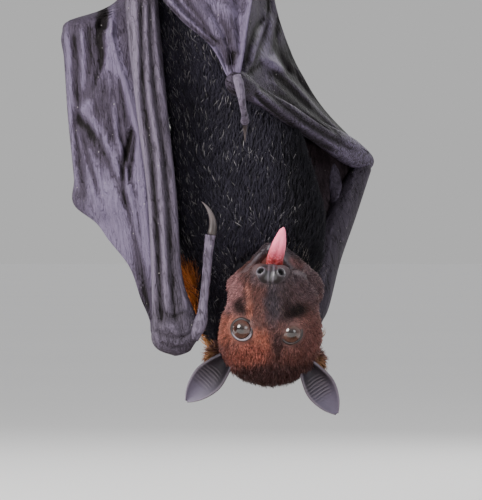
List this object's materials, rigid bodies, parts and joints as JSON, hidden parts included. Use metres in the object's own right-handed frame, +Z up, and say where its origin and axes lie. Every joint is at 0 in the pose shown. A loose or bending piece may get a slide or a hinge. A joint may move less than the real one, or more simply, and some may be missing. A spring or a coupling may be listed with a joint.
{
  "type": "fruit bat",
  "caption": "Life-size still model of a large fruit bat hanging upside down from a short perch on a plain display stand.",
  "frame": {"origin": "middle of the underside of the stand's base, on the surface that it stands on", "axes": "+Z up; the bat's belly and face look along -Y; +X is the bat's own right side"},
  "size_m": [0.324, 0.23, 0.4685],
  "materials": {
    "dark_fur": "short black fur with silver tips",
    "face_fur": "short rufous fur",
    "mantle_fur": "orange-brown fur",
    "wing_skin": "wrinkled, slightly shiny bare skin",
    "bare_skin": "dark bare skin",
    "ear_skin": "thin bare skin",
    "tongue_skin": "moist and smooth",
    "eye": "wet gloss",
    "claw": "polished horn",
    "bark": "rough bark",
    "base_wood": "satin varnish",
    "rod_metal": "brushed"
  },
  "bodies": {
    "root": {"head": "face_fur", "jaw": "face_fur", "tongue": "tongue_skin", "nose": "bare_skin", "eye_left": "eye", "eye_right": "eye", "ear_left": "ear_skin", "ear_right": "ear_skin", "neck": "mantle_fur", "chest": "dark_fur", "belly": "dark_fur", "wing_left_hand": "wing_skin", "wing_left_arm": "wing_skin", "wing_right_forearm": "wing_skin", "wing_right_upper_arm": "wing_skin", "wing_right_cloak": "wing_skin", "wing_right_fan": "wing_skin", "wing_right_flank": "wing_skin", "thumb_left": "bare_skin", "thumb_right": "bare_skin", "thumb_claw_left": "claw", "thumb_claw_right": "claw", "thigh_left": "dark_fur", "thigh_right": "dark_fur", "shin_left": "wing_skin", "shin_right": "wing_skin", "foot_left": "bare_skin", "foot_right": "bare_skin", "toe_claw_left_1": "claw", "toe_claw_left_2": "claw", "toe_claw_left_3": "claw", "toe_claw_left_4": "claw", "toe_claw_left_5": "claw", "toe_claw_right_1": "claw", "toe_claw_right_2": "claw", "toe_claw_right_3": "claw", "toe_claw_right_4": "claw", "toe_claw_right_5": "claw", "perch_branch": "bark", "stand_base": "base_wood", "stand_rod_left": "rod_metal", "stand_rod_right": "rod_metal"}
  },
  "joints": []
}
